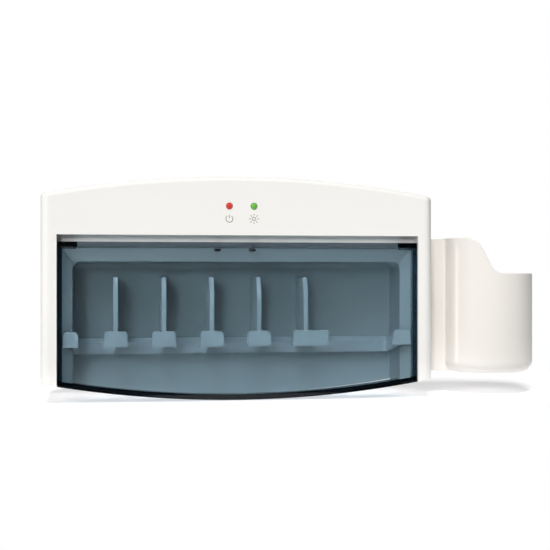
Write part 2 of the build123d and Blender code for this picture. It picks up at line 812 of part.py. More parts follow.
for x, name in zip(led_positions, ("red_led", "green_led")):
    with BuildPart() as led:
        with BuildSketch(depth_plane(board_depth)):
            with Locations((x, led_z)):
                Circle(led_flange_radius)
        extrude(amount=led_flange_thickness)
        with BuildSketch(depth_plane(board_depth)):
            with Locations((x, led_z)):
                Circle(led_radius)
        extrude(amount=board_depth + led_proud - led_radius)
        with Locations((x, led_radius - led_proud - case_depth, led_z)):
            Sphere(led_radius)
    led.part.label = name
    export_step(led.part, f"parts/{name}.step")

with BuildPart() as ballast_coil:
    coil_width, coil_depth, coil_height = coil_size
    coil_x = board_x - board_width / 2 + coil_inset
    box_between(
        (coil_x - coil_width / 2, board_back - case_depth, board_z - coil_height / 2),
        (coil_x + coil_width / 2, board_back + coil_depth - case_depth, board_z + coil_height / 2),
    )
    chamfer(ballast_coil.edges().filter_by(Axis.Y), coil_chamfer)
ballast_coil.part.label = "ballast_coil"
export_step(ballast_coil.part, "parts/ballast_coil.step")

with BuildPart() as filter_capacitors:
    with BuildSketch(depth_plane(board_back)):
        first_capacitor = board_x + board_width / 2 - capacitor_inset
        with Locations(*[(first_capacitor - capacitor_pitch * i, board_z) for i in range(capacitor_count)]):
            Circle(capacitor_radius)
    extrude(amount=-capacitor_length)
filter_capacitors.part.label = "filter_capacitors"
export_step(filter_capacitors.part, "parts/filter_capacitors.step")

# Inlet jack in the left side of the case
jack_y = -jack_from_wall
with BuildPart() as inlet_jack:
    box_between(
        (wall - half_width, jack_y - jack_width / 2, jack_z - jack_height / 2),
        (wall - half_width + jack_length, jack_y + jack_width / 2, jack_z + jack_height / 2),
    )
    with BuildSketch(Plane.YZ.offset(-half_width)):
        with Locations((jack_y, jack_z)):
            Circle(jack_nose_radius)
    extrude(amount=wall)
    with BuildSketch(Plane.YZ.offset(-half_width)):
        with Locations((jack_y, jack_z)):
            Circle(jack_bore_radius)
            Circle(jack_pin_radius, mode=Mode.SUBTRACT)
    extrude(amount=jack_bore_depth, mode=Mode.SUBTRACT)
inlet_jack.part.label = "inlet_jack"
export_step(inlet_jack.part, "parts/inlet_jack.step")


def lead(points, bend):
    """Insulated wire along straight runs joined by bends."""
    with BuildPart() as wire:
        with BuildLine():
            route = FilletPolyline(*points, radius=bend)
        with BuildSketch(Plane(origin=route @ 0, z_dir=route % 0)):
            RegularPolygon(wire_radius, wire_sides)
        sweep()
    return wire.part


# Wires: inlet to board, board to the lamp's sockets, board to the switches
with BuildPart() as lead_wires:
    board_y = board_back - case_depth
    board_left = board_x - board_width / 2
    jack_end = wall - half_width + jack_length
    for i, y in enumerate((jack_y - wire_gap / 2, jack_y + wire_gap / 2)):
        turn_x = jack_end + supply_run
        end_x = board_left + board_edge_gap + (i + 1.5) * wire_gap
        add(
            lead(
                [
                    (jack_end, y, jack_z),
                    (turn_x, y, jack_z),
                    (turn_x, y, board_z),
                    (end_x, y, board_z),
                    (end_x, board_y, board_z),
                ],
                wire_bend,
            )
        )
    for side in (-1, 1):
        socket_end = side * (lamp_glass_half + lamp_cap_length + socket_gap + socket_length)
        turn_x = socket_end + side * socket_run
        end_x = board_x + side * (board_width / 2 - board_edge_gap)
        for row in (-1, 1):
            y = lamp_y + row * socket_wire_spread / 2
            z = board_z + row * socket_board_rise
            add(
                lead(
                    [
                        (socket_end, y, socket_wire_z),
                        (turn_x, y, socket_wire_z),
                        (turn_x, y, z),
                        (end_x, y, z),
                        (end_x, board_y, z),
                    ],
                    wire_bend,
                )
            )
    for x in switch_positions:
        for row in (-1, 1):
            wire_x = x + row * switch_wire_spread / 2
            y = switch_pocket_depth + switch_body_depth / 2 - case_depth
            switch_top = switch_z + switch_body_height / 2
            add(
                lead(
                    [(wire_x, y, switch_top), (wire_x, y, switch_wire_z), (wire_x, board_y, switch_wire_z)],
                    wire_short_bend,
                )
            )
lead_wires.part.label = "lead_wires"
export_step(lead_wires.part, "parts/lead_wires.step")

# Screws, one node for each kind
with BuildPart() as case_screws:
    screw_plane = Plane.XZ.offset(head_recess)
    add(pan_screws(screw_plane, case_screw_places, case_screw_length - screw_tip_gap, head_recess))
case_screws.part.label = "case_screws"
export_step(case_screws.part, "parts/case_screws.step")

with BuildPart() as board_screws:
    board_plane = depth_plane(board_back)
    board_reach = board_thickness + board_screw_length - screw_tip_gap
    small = (board_screw_radius, board_screw_head)
    add(pan_screws(board_plane, board_hole_places, board_reach, screw_head_height, *small))
board_screws.part.label = "board_screws"
export_step(board_screws.part, "parts/board_screws.step")

with BuildPart() as rack_screws:
    rack_reach = rack_screw_length - screw_tip_gap
    add(pan_screws(depth_plane(liner_back), rack_screw_places, rack_reach, screw_head_height))
rack_screws.part.label = "rack_screws"
export_step(rack_screws.part, "parts/rack_screws.step")

with BuildPart() as liner_screws:
    ledge_plane = depth_plane(pocket_depth + ledge_thickness)
    ledge_reach = ledge_thickness + rim_edge_gap + liner_pilot_depth - screw_tip_gap
    add(pan_screws(ledge_plane, liner_screw_places, ledge_reach, ledge_head_height, *small))
liner_screws.part.label = "liner_screws"
export_step(liner_screws.part, "parts/liner_screws.step")

# Cup rail on the right side of the case, a dovetail open at both ends
with BuildPart() as cup_rail:
    with BuildSketch(Plane.XY.offset(rail_bottom)):
        with Locations((half_width + rail_plate / 2, rail_y)):
            Rectangle(rail_plate, rail_plate_width)
        root_x = half_width + rail_plate
        tip_x = root_x + rail_height
        with BuildLine():
            Polyline(
                (root_x, rail_y - rail_root / 2),
                (tip_x, rail_y - rail_tip / 2),
                (tip_x, rail_y + rail_tip / 2),
                (root_x, rail_y + rail_root / 2),
                close=True,
            )
        make_face()
    extrude(amount=rail_top - rail_bottom)
    with BuildSketch(Plane.YZ.offset(half_width)):
        with Locations(*[(rail_y, z) for z in rail_screw_z]):
            Circle(pilot_radius)
    extrude(amount=rail_screw_length - wall, mode=Mode.SUBTRACT)
cup_rail.part.label = "cup_rail"
export_step(cup_rail.part, "parts/cup_rail.step")

with BuildPart() as rail_screws:
    rail_places = [(rail_y, z) for z in rail_screw_z]
    rail_reach = rail_screw_length - screw_tip_gap
    rail_plane = Plane.YZ.offset(half_width - wall)
    add(pan_screws(rail_plane, rail_places, rail_reach, screw_head_height))
rail_screws.part.label = "rail_screws"
export_step(rail_screws.part, "parts/rail_screws.step")

# Cup: a round pot with a stepped rim, and a hollow neck that slides down over the rail
cup_y = cup_depth - case_depth
neck_left = half_width + cup_side_gap
neck_front = neck_front_depth - case_depth
groove_tip = tip_x + rail_clearance


def upright_round(radius, low, high, mode=Mode.ADD):
    """Round block about the cup's axis between two heights, in the part being built."""
    with Locations((cup_x, cup_y, low)):
        Cylinder(radius, high - low, align=(Align.CENTER, Align.CENTER, Align.MIN), mode=mode)


with BuildPart() as cup_inside:
    upright_round(cup_radius - cup_wall, cup_bottom + cup_floor, rim_high + cup_floor)
    fillet(cup_inside.edges().group_by(Axis.Z)[0], cup_inner_radius)

# What lies above the stepped rim: high beside the case, low on the far side
with BuildPart() as above_rim:
    with BuildSketch(Plane.XZ.offset(cup_radius + rim_margin - cup_y)):
        with BuildLine():
            rim_line = FilletPolyline(
                (half_width, rim_high),
                (cup_x + rim_slope_top, rim_high),
                (cup_x + rim_slope_foot, rim_low),
                (cup_x + 2 * cup_radius, rim_low),
                radius=[rim_upper_curve, rim_lower_curve],
            )
            far_top = (cup_x + 2 * cup_radius, 2 * rim_high)
            Polyline(rim_line @ 1, far_top, (half_width, 2 * rim_high), rim_line @ 0)
        make_face()
    extrude(amount=-2 * (cup_radius + rim_margin))

# Hollow of the neck, open below, between the rail's groove and the round wall
with BuildPart() as neck_hollow:
    box_between(
        (groove_tip + neck_wall, neck_front + neck_wall, neck_bottom),
        (cup_x, neck_front + neck_width - neck_wall, neck_top - neck_wall),
    )
    upright_round(cup_radius, neck_bottom, neck_top, mode=Mode.SUBTRACT)

with BuildPart() as cup_neck:
    box_between((neck_left, neck_front, neck_bottom), (cup_x, neck_front + neck_width, neck_top))
    upright_round(cup_radius, cup_bottom + cup_bottom_radius, neck_top, mode=Mode.SUBTRACT)
    add(cup_inside.part, mode=Mode.SUBTRACT)
    add(above_rim.part, mode=Mode.SUBTRACT)
    add(neck_hollow.part, mode=Mode.SUBTRACT)
    # Groove for the rail, closed above so that the cup hangs on the rail's top
    with BuildSketch(Plane.XY.offset(neck_bottom)):
        with Locations((neck_left, rail_y)):
            Rectangle(2 * (rail_plate - cup_side_gap + rail_clearance), rail_plate_width + 2 * rail_clearance)
        with BuildLine():
            Polyline(
                (root_x, rail_y - rail_root / 2 - rail_clearance),
                (groove_tip, rail_y - rail_tip / 2 - rail_clearance),
                (groove_tip, rail_y + rail_tip / 2 + rail_clearance),
                (root_x, rail_y + rail_root / 2 + rail_clearance),
                close=True,
            )
        make_face()
    extrude(amount=rail_top - neck_bottom, mode=Mode.SUBTRACT)

with BuildPart() as cup_holder:
    upright_round(cup_radius, cup_bottom, rim_high)
    fillet(cup_holder.edges().group_by(Axis.Z)[0], cup_bottom_radius)
    add(cup_inside.part, mode=Mode.SUBTRACT)
    add(above_rim.part, mode=Mode.SUBTRACT)
    # Soft edges along the rim, inside and out
    rim_edges = cup_holder.edges().filter_by(lambda edge: edge.center().Z > rim_low - rim_rounding)
    fillet(rim_edges.filter_by(GeomType.LINE, reverse=True), rim_rounding)
    add(cup_neck.part)
    # The neck runs into the round wall with a small fillet in front
    neck_root = Vector(cup_x - sqrt(cup_radius**2 - (neck_front - cup_y) ** 2), neck_front, 0)
    fillet(cup_holder.edges().filter_by(Axis.Z).sort_by_distance(neck_root)[0], neck_fillet)
cup_holder.part.label = "cup_holder"
export_step(cup_holder.part, "parts/cup_holder.step")
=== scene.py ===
"""Dresses the toothbrush sterilizer: a moulded white case with a smoked door, a brush rack and a side cup.

Sizes and places are in millimetres unless they say otherwise, and MM turns them into metres.
"""

import json
import logging
import math
from collections.abc import Callable, Iterable
from dataclasses import dataclass
from enum import Enum
from typing import Any

import bmesh
import bpy
from mathutils import Matrix, Vector

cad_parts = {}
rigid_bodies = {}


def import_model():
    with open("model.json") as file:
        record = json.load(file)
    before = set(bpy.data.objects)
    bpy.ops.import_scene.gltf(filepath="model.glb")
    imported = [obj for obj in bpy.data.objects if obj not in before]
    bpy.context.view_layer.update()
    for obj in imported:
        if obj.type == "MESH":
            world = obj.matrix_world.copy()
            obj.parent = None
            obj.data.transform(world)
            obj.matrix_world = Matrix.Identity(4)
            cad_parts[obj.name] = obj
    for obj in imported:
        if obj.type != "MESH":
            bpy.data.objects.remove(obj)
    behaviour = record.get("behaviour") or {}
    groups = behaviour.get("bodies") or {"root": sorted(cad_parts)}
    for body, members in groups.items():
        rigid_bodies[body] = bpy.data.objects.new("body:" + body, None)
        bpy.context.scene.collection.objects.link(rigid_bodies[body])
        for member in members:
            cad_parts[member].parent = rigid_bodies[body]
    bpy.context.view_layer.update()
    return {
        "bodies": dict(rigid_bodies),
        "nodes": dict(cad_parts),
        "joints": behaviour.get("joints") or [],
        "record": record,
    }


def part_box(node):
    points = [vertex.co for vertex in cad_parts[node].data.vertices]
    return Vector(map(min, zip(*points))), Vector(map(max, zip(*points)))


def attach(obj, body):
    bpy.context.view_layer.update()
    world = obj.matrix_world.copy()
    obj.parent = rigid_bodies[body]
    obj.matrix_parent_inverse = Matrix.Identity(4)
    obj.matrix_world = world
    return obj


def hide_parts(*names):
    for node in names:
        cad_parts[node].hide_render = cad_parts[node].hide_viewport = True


MM = 0.001
WHITE = (1.0, 1.0, 1.0, 1.0)
CASE_BODY = "case"
# A Mix node's sockets for colours share their names with those for numbers, so they go by place
FIRST_COLOUR = 6
SECOND_COLOUR = 7
MIXED_COLOUR = 2
LOG = logging.getLogger("sterilizer")


class Symbol(Enum):
    """What is printed under an indicator lamp, by the name of its piece."""

    POWER = "power_symbol"
    RAYS = "ray_symbol"


def linear(hex_colour: str) -> tuple[float, float, float, float]:
    """Turns an sRGB hex colour into linear light.

    Args:
        hex_colour: Six hex digits after a hash sign.

    Returns:
        Linear red, green and blue, and an alpha of 1.
    """
    parts = [int(hex_colour[i : i + 2], 16) / 255 for i in (1, 3, 5)]
    # The standard's curve: a short straight stretch near black, then a power
    red, green, blue = (p / 12.92 if p <= 0.04045 else ((p + 0.055) / 1.055) ** 2.4 for p in parts)
    return red, green, blue, 1.0


def add_node(
    tree: bpy.types.NodeTree,
    kind: str,
    settings: dict[str | int, Any],
    links: dict[str | int, bpy.types.NodeSocket],
) -> bpy.types.Node:
    """Adds one shader node with its settings and its incoming links.

    Args:
        tree: The node tree that gets the node.
        kind: The node's type name.
        settings: Properties of the node, or default values of the inputs of those names or numbers.
        links: For each input, by name or number, the socket that feeds it.

    Returns:
        The new node.
    """
    node = tree.nodes.new(kind)
    for name, value in settings.items():
        if isinstance(name, str) and hasattr(node, name) and name not in node.inputs:
            setattr(node, name, value)
        else:
            node.inputs[name].default_value = value
    for name, socket in links.items():
        tree.links.new(socket, node.inputs[name])
    return node


@dataclass(frozen=True)
class Finish:
    """One finish of the object, from which a node material is made."""

    name: str
    colour: str
    roughness: float
    metallic: float = 0.0
    ior: float = 1.5

    def start(self) -> tuple[bpy.types.Material, bpy.types.Node, bpy.types.Node]:
        """Makes a material with a Principled shader that has this finish's plain values.

        Returns:
            The material, its Principled shader and a Texture Coordinate node.
        """
        material = bpy.data.materials.new(self.name)
        material.use_nodes = True
        tree = material.node_tree
        shader = tree.nodes["Principled BSDF"]
        shader.inputs["Base Color"].default_value = linear(self.colour)
        shader.inputs["Roughness"].default_value = self.roughness
        shader.inputs["Metallic"].default_value = self.metallic
        if self.metallic == 0:
            shader.inputs["IOR"].default_value = self.ior
        place = add_node(tree, "ShaderNodeTexCoord", {}, {})
        material.diffuse_color = linear(self.colour)
        return material, shader, place

    def build(self) -> bpy.types.Material:
        """Makes the material of this finish, with no texture."""
        return self.start()[0]


@dataclass(frozen=True)
class GrainedPlastic(Finish):
    """Plastic with the fine grain of its making, a slow change of tone and a little waviness of gloss."""

    tone: str = "#FFFFFF"
    cloud_mm: float = 45.0
    cloud_detail: float = 3.0
    cloud_roughness: float = 0.55
    gloss_spread: float = 0.06
    grain_mm: float = 0.35
    grain_detail: float = 2.0
    grain_strength: float = 0.5
    grain_height_mm: float = 0.01

    def build(self) -> bpy.types.Material:
        """Makes the plastic.

        Returns:
            The material, with colour, roughness and bump from noise in real millimetres.
        """
        material, shader, place = self.start()
        tree = material.node_tree
        # It sets unevenly, which shows as a very faint clouding of tone and gloss
        cloud = add_node(
            tree,
            "ShaderNodeTexNoise",
            {
                "Scale": 1 / (self.cloud_mm * MM),
                "Detail": self.cloud_detail,
                "Roughness": self.cloud_roughness,
            },
            {"Vector": place.outputs["Object"]},
        )
        tint = add_node(
            tree,
            "ShaderNodeMix",
            {"data_type": "RGBA", FIRST_COLOUR: linear(self.colour), SECOND_COLOUR: linear(self.tone)},
            {"Factor": cloud.outputs["Fac"]},
        )
        tree.links.new(tint.outputs[MIXED_COLOUR], shader.inputs["Base Color"])
        smoothest = self.roughness - self.gloss_spread / 2
        gloss = add_node(
            tree,
            "ShaderNodeMapRange",
            {"To Min": smoothest, "To Max": smoothest + self.gloss_spread},
            {"Value": cloud.outputs["Fac"]},
        )
        tree.links.new(gloss.outputs["Result"], shader.inputs["Roughness"])
        # The grain that a mould or a die leaves, drawn about as coarse as the eye can still see it
        grain = add_node(
            tree,
            "ShaderNodeTexNoise",
            {"Scale": 1 / (self.grain_mm * MM), "Detail": self.grain_detail},
            {"Vector": place.outputs["Object"]},
        )
        bump = add_node(
            tree,
            "ShaderNodeBump",
            {"Strength": self.grain_strength, "Distance": self.grain_height_mm * MM},
            {"Height": grain.outputs["Fac"]},
        )
        tree.links.new(bump.outputs["Normal"], shader.inputs["Normal"])
        return material


@dataclass(frozen=True)
class ClearFinish(Finish):
    """Something that light goes through."""

    shade: str = "#FFFFFF"

    def start(self) -> tuple[bpy.types.Material, bpy.types.Node, bpy.types.Node]:
        """Makes a see-through material whose shadow is only a tint, so that what lies behind it stays lit.

        Returns:
            The material, its Principled shader and a Texture Coordinate node.
        """
        material, shader, place = super().start()
        tree = material.node_tree
        shader.inputs["Transmission Weight"].default_value = 1.0
        pane = add_node(tree, "ShaderNodeBsdfTransparent", {"Color": linear(self.shade)}, {})
        path = add_node(tree, "ShaderNodeLightPath", {}, {})
        mix = add_node(
            tree,
            "ShaderNodeMixShader",
            {},
            {0: path.outputs["Is Shadow Ray"], 1: shader.outputs[0], 2: pane.outputs[0]},
        )
        tree.links.new(mix.outputs[0], tree.nodes["Material Output"].inputs["Surface"])
        return material, shader, place


@dataclass(frozen=True)
class SmokedAcrylic(ClearFinish):
    """Blue-grey smoked acrylic, moulded and polished, with painted shade on its turned-back edges: darker
    colours there stand in for the light lost looking endways through more of the tinted plastic.

    Each width says how far the turned-back edge reaches in from the door's outline. The foot follows an arc.
    """

    shade: str = "#D2DADF"
    depth_tint: str = "#A0B4BC"
    density: float = 110.0
    # Painted shade: the darker colours of the turned-back sides, top, foot and knuckles
    side_painted_dark: str = "#7D929C"
    side_width: float = 3.3
    top_painted_dark: str = "#868E95"
    top_width: float = 4.0
    foot_painted_dark: str = "#232E35"
    foot_width: float = 4.16
    foot_arc_radius: float = 785.46
    knuckle_painted_dark: str = "#0E1418"
    knuckle_length: float = 14.1
    fade: float = 0.3
    wave_mm: float = 30.0
    wave_detail: float = 1.0
    wave_strength: float = 0.15
    wave_height_mm: float = 0.05
    haze_mm: float = 60.0
    haze_detail: float = 4.0
    haze_spread: float = 0.01

    def past(
        self, tree: bpy.types.NodeTree, value: bpy.types.NodeSocket, limit: float
    ) -> bpy.types.NodeSocket:
        """Marks where a distance is past a limit.

        Args:
            tree: The material's node tree.
            value: The distance, in metres.
            limit: The limit, in millimetres.

        Returns:
            A socket that goes from 0 to 1 at the limit.
        """
        low, high = (limit - self.fade / 2) * MM, (limit + self.fade / 2) * MM
        step = add_node(tree, "ShaderNodeMapRange", {"From Min": low, "From Max": high}, {"Value": value})
        return step.outputs["Result"]

    def paint_edge_shade(self, tree: bpy.types.NodeTree, place: bpy.types.Node) -> bpy.types.NodeSocket:
        """Colours the sheet, and paints its turned-back top and sides, its foot and its hinge knuckles
        darker, as painted shade for the light lost looking endways through them.

        Args:
            tree: The material's node tree.
            place: Its Texture Coordinate node.

        Returns:
            The colour's socket.
        """
        low, high = (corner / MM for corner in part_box("door"))
        axes = add_node(tree, "ShaderNodeSeparateXYZ", {}, {0: place.outputs["Object"]})
        aside = add_node(tree, "ShaderNodeMath", {"operation": "ABSOLUTE"}, {0: axes.outputs["X"]})
        # Distance from the centre of the arc that the door's foot follows
        centred = add_node(
            tree,
            "ShaderNodeVectorMath",
            {"operation": "MULTIPLY_ADD", 1: (1, 0, 1), 2: (0, 0, -(low.z + self.foot_arc_radius) * MM)},
            {0: place.outputs["Object"]},
        )
        reach = add_node(
            tree, "ShaderNodeVectorMath", {"operation": "LENGTH"}, {0: centred.outputs["Vector"]}
        )
        top = self.past(tree, axes.outputs["Z"], high.z - self.top_width)
        side = self.past(tree, aside.outputs[0], high.x - self.side_width)
        foot = self.past(tree, reach.outputs["Value"], self.foot_arc_radius - self.foot_width)
        # The knuckles are the two ends of the top
        ends = self.past(tree, aside.outputs[0], high.x - self.knuckle_length)
        knuckle = add_node(tree, "ShaderNodeMath", {"operation": "MULTIPLY"}, {0: top, 1: ends})
        # Painted shade: each layer paints one turned-back edge darker, for the light lost looking endways
        # through the plastic
        painted_edge_layers = (
            (top, self.top_painted_dark),
            (side, self.side_painted_dark),
            (knuckle.outputs[0], self.knuckle_painted_dark),
            (foot, self.foot_painted_dark),
        )
        sheet = add_node(
            tree, "ShaderNodeMix", {"data_type": "RGBA", "Factor": 0.0, FIRST_COLOUR: linear(self.colour)}, {}
        )
        colour = sheet.outputs[MIXED_COLOUR]
        for mask, shade in painted_edge_layers:
            layer = add_node(
                tree,
                "ShaderNodeMix",
                {"data_type": "RGBA", SECOND_COLOUR: linear(shade)},
                {"Factor": mask, FIRST_COLOUR: colour},
            )
            colour = layer.outputs[MIXED_COLOUR]
        return colour

    def build(self) -> bpy.types.Material:
        """Makes the smoked sheet.

        Returns:
            The material: glass for the eye, a tinted pane for lamp light, and a tint that grows with
            thickness.
        """
        material, shader, place = self.start()
        tree = material.node_tree
        # Painted shade: the turned-back edges get darker base colours
        tree.links.new(self.paint_edge_shade(tree, place), shader.inputs["Base Color"])
        # Moulded sheet is never quite flat: slow waves, a few centimetres long
        wave = add_node(
            tree,
            "ShaderNodeTexNoise",
            {"Scale": 1 / (self.wave_mm * MM), "Detail": self.wave_detail},
            {"Vector": place.outputs["Object"]},
        )
        bump = add_node(
            tree,
            "ShaderNodeBump",
            {"Strength": self.wave_strength, "Distance": self.wave_height_mm * MM},
            {"Height": wave.outputs["Fac"]},
        )
        tree.links.new(bump.outputs["Normal"], shader.inputs["Normal"])
        # Wiping leaves the faintest haze in places
        haze = add_node(
            tree,
            "ShaderNodeTexNoise",
            {"Scale": 1 / (self.haze_mm * MM), "Detail": self.haze_detail},
            {"Vector": place.outputs["Object"]},
        )
        rough = add_node(
            tree,
            "ShaderNodeMapRange",
            {"To Min": self.roughness, "To Max": self.roughness + self.haze_spread},
            {"Value": haze.outputs["Fac"]},
        )
        tree.links.new(rough.outputs["Result"], shader.inputs["Roughness"])
        smoke = add_node(
            tree,
            "ShaderNodeVolumeAbsorption",
            {"Color": linear(self.depth_tint), "Density": self.density},
            {},
        )
        tree.links.new(smoke.outputs[0], tree.nodes["Material Output"].inputs["Volume"])
        return material


@dataclass(frozen=True)
class ClearGlass(ClearFinish):
    """Drawn quartz tube: nearly colourless and fully clear."""

    streak_mm: float = 1.5
    streak_detail: float = 1.0
    streak_strength: float = 0.1
    streak_height_mm: float = 0.02
    along: tuple[float, float, float] = (0.05, 1.0, 1.0)

    def build(self) -> bpy.types.Material:
        """Makes the glass.

        Returns:
            The material, with fine streaks along the tube.
        """
        material, shader, place = self.start()
        tree = material.node_tree
        # Drawing the tube leaves fine streaks along it
        stretch = add_node(
            tree, "ShaderNodeMapping", {"Scale": self.along}, {"Vector": place.outputs["Object"]}
        )
        streak = add_node(
            tree,
            "ShaderNodeTexNoise",
            {"Scale": 1 / (self.streak_mm * MM), "Detail": self.streak_detail},
            {"Vector": stretch.outputs["Vector"]},
        )
        bump = add_node(
            tree,
            "ShaderNodeBump",
            {"Strength": self.streak_strength, "Distance": self.streak_height_mm * MM},
            {"Height": streak.outputs["Fac"]},
        )
        tree.links.new(bump.outputs["Normal"], shader.inputs["Normal"])
        return material


@dataclass(frozen=True)
class WorkedMetal(Finish):
    """Metal with the marks of its making: drawing, plating or rolling lines along one axis."""

    tone: str = "#FFFFFF"
    along: tuple[float, float, float] = (0.06, 1.0, 1.0)
    line_mm: float = 0.25
    line_detail: float = 3.0
    line_strength: float = 0.3
    line_height_mm: float = 0.01
    smoother: float = 0.06
    rougher: float = 0.08

    def build(self) -> bpy.types.Material:
        """Makes the metal.

        Returns:
            The material, with its lines in tone, roughness and bump.
        """
        material, shader, place = self.start()
        tree = material.node_tree
        stretch = add_node(
            tree, "ShaderNodeMapping", {"Scale": self.along}, {"Vector": place.outputs["Object"]}
        )
        lines = add_node(
            tree,
            "ShaderNodeTexNoise",
            {"Scale": 1 / (self.line_mm * MM), "Detail": self.line_detail},
            {"Vector": stretch.outputs["Vector"]},
        )
        tint = add_node(
            tree,
            "ShaderNodeMix",
            {"data_type": "RGBA", FIRST_COLOUR: linear(self.colour), SECOND_COLOUR: linear(self.tone)},
            {"Factor": lines.outputs["Fac"]},
        )
        tree.links.new(tint.outputs[MIXED_COLOUR], shader.inputs["Base Color"])
        rough = add_node(
            tree,
            "ShaderNodeMapRange",
            {"To Min": self.roughness - self.smoother, "To Max": self.roughness + self.rougher},
            {"Value": lines.outputs["Fac"]},
        )
        tree.links.new(rough.outputs["Result"], shader.inputs["Roughness"])
        bump = add_node(
            tree,
            "ShaderNodeBump",
            {"Strength": self.line_strength, "Distance": self.line_height_mm * MM},
            {"Height": lines.outputs["Fac"]},
        )
        tree.links.new(bump.outputs["Normal"], shader.inputs["Normal"])
        return material


@dataclass(frozen=True)
class LampLens(Finish):
    """Tinted epoxy of an indicator lamp, cast smooth, with its light die glowing faintly inside."""

    glow: float = 0.15
    coat: float = 0.6
    coat_roughness: float = 0.04
    grain_mm: float = 1.2
    grain_detail: float = 2.0
    grain_strength: float = 0.1
    grain_height_mm: float = 0.02
    gloss_spread: float = 0.1

    def build(self) -> bpy.types.Material:
        """Makes the lens.

        Returns:
            The material: glossy, faintly glowing and a little uneven, as a small casting is.
        """
        material, shader, place = self.start()
        tree = material.node_tree
        shader.inputs["Coat Weight"].default_value = self.coat
        shader.inputs["Coat Roughness"].default_value = self.coat_roughness
        shader.inputs["Emission Color"].default_value = linear(self.colour)
        shader.inputs["Emission Strength"].default_value = self.glow
        grain = add_node(
            tree,
            "ShaderNodeTexNoise",
            {"Scale": 1 / (self.grain_mm * MM), "Detail": self.grain_detail},
            {"Vector": place.outputs["Object"]},
        )
        rough = add_node(
            tree,
            "ShaderNodeMapRange",
            {"To Min": self.roughness, "To Max": self.roughness + self.gloss_spread},
            {"Value": grain.outputs["Fac"]},
        )
        tree.links.new(rough.outputs["Result"], shader.inputs["Roughness"])
        bump = add_node(
            tree,
            "ShaderNodeBump",
            {"Strength": self.grain_strength, "Distance": self.grain_height_mm * MM},
            {"Height": grain.outputs["Fac"]},
        )
        tree.links.new(bump.outputs["Normal"], shader.inputs["Normal"])
        return material


@dataclass(frozen=True)
class Palette:
    """Every finish on the sterilizer."""

    # White ABS, moulded in a polished mould: bright, warm and softly glossy
    white_abs: Finish = GrainedPlastic(
        "white_ABS_moulded", "#F1EFEB", 0.3, tone="#F3F1ED", gloss_spread=0.02
    )
    # Creamier white ABS of the cup, from a polished mould: the warmer tone is its own, and its slightly
    # darker colour is painted shade for the dimmer light on the cup. The clear highlight down its side comes
    # from the strip lamp
    cup_abs_painted_dimmer: Finish = GrainedPlastic(
        "cream_white_ABS_painted_dimmer", "#E8E4DD", 0.26, tone="#EAE6E0", gloss_spread=0.02
    )
    # Blue-grey ABS from a satin mould: the blue-grey is partly its own and partly painted shade, darker so
    # that the deep tub and its shadows read dark, with little glare
    liner_abs_painted_shade: Finish = GrainedPlastic("slate_blue_ABS_painted_shade", "#77888F", 0.38, tone="#7B8C93")
    # A paler copy of the same ABS, as painted light: the fins, nearer the door, read brighter than the tub
    # behind them
    rack_abs_painted_light: Finish = GrainedPlastic("blue_grey_ABS_painted_light", "#84969E", 0.36, tone="#899BA3")
    # Smoked acrylic, polished: clear from the front, with painted shade, deep blue-grey to near black, on the
    # edges that are seen endways
    smoked: Finish = SmokedAcrylic("smoked_acrylic_moulded", "#FFFFFF", 0.0, ior=1.35)
    # Black nylon of the switches and the inlet, from a satin mould: dark and a little waxy
    black_nylon: Finish = GrainedPlastic("black_nylon_moulded", "#17181A", 0.45, tone="#1E2022")
    # Zinc-plated steel, cold headed: bright grey with a faint yellow cast
    zinc: Finish = WorkedMetal("zinc_plated_steel", "#B9B8B0", 0.3, 1.0, tone="#CFCDC2")
    # Drawn stainless steel of the hinge pins: cool grey with lines along the pin
    pin_steel: Finish = WorkedMetal("stainless_steel_drawn", "#C4C4C2", 0.25, 1.0, tone="#D4D4D1")
    # Pressed aluminium of the lamp's caps: pale and softly shining
    cap_aluminium: Finish = WorkedMetal("aluminium_pressed", "#D0D2D4", 0.32, 1.0, tone="#DFE0E1")
    # Bright anodised aluminium sheet, rolled: mirror-like along the trough
    bright_sheet: Finish = WorkedMetal("anodised_aluminium_bright", "#DADCDD", 0.14, 1.0, tone="#E6E7E8")
    # Drawn quartz of the lamp's tube: clear, with fine streaks
    quartz: Finish = ClearGlass("quartz_glass_drawn", "#F6FAFC", 0.0, ior=1.46)
    # White PBT of the lamp's sockets, moulded: off-white and matt
    socket_plastic: Finish = GrainedPlastic("white_PBT_moulded", "#E9E7DF", 0.42, tone="#EFEDE7")
    # Extruded PVC round the wires: smooth, a little waxy
    wire_cover: Finish = GrainedPlastic(
        "PVC_insulation_extruded", "#C9C7C0", 0.38, tone="#D6D4CE", grain_mm=0.6
    )
    # Epoxy glass board under a printed green solder mask: glossy, with the weave just showing
    solder_mask: Finish = GrainedPlastic(
        "circuit_board_solder_mask", "#1C5A35", 0.3, tone="#24683F", grain_mm=0.8
    )
    # Polyester tape wound round the coil: yellow and smooth, with soft wrinkles
    coil_tape: Finish = GrainedPlastic(
        "polyester_tape_wound", "#D9B54A", 0.35, tone="#E2C262", grain_mm=1.2
    )
    # Shrunk PVC sleeve of the capacitors: dark blue and glossy
    sleeve: Finish = GrainedPlastic("PVC_sleeve_shrunk", "#1D2A4D", 0.28, tone="#243360")
    # Cast epoxy of the two lamps: deep colour under a wet-looking dome
    red_lens: Finish = LampLens("red_epoxy_cast", "#C8362B", 0.12)
    green_lens: Finish = LampLens("green_epoxy_cast", "#5FAF3E", 0.12)
    # Grey pad-printing ink: flat, with a slight change of tone
    ink: Finish = GrainedPlastic("grey_ink_pad_printed", "#77756F", 0.6, tone="#86847D")


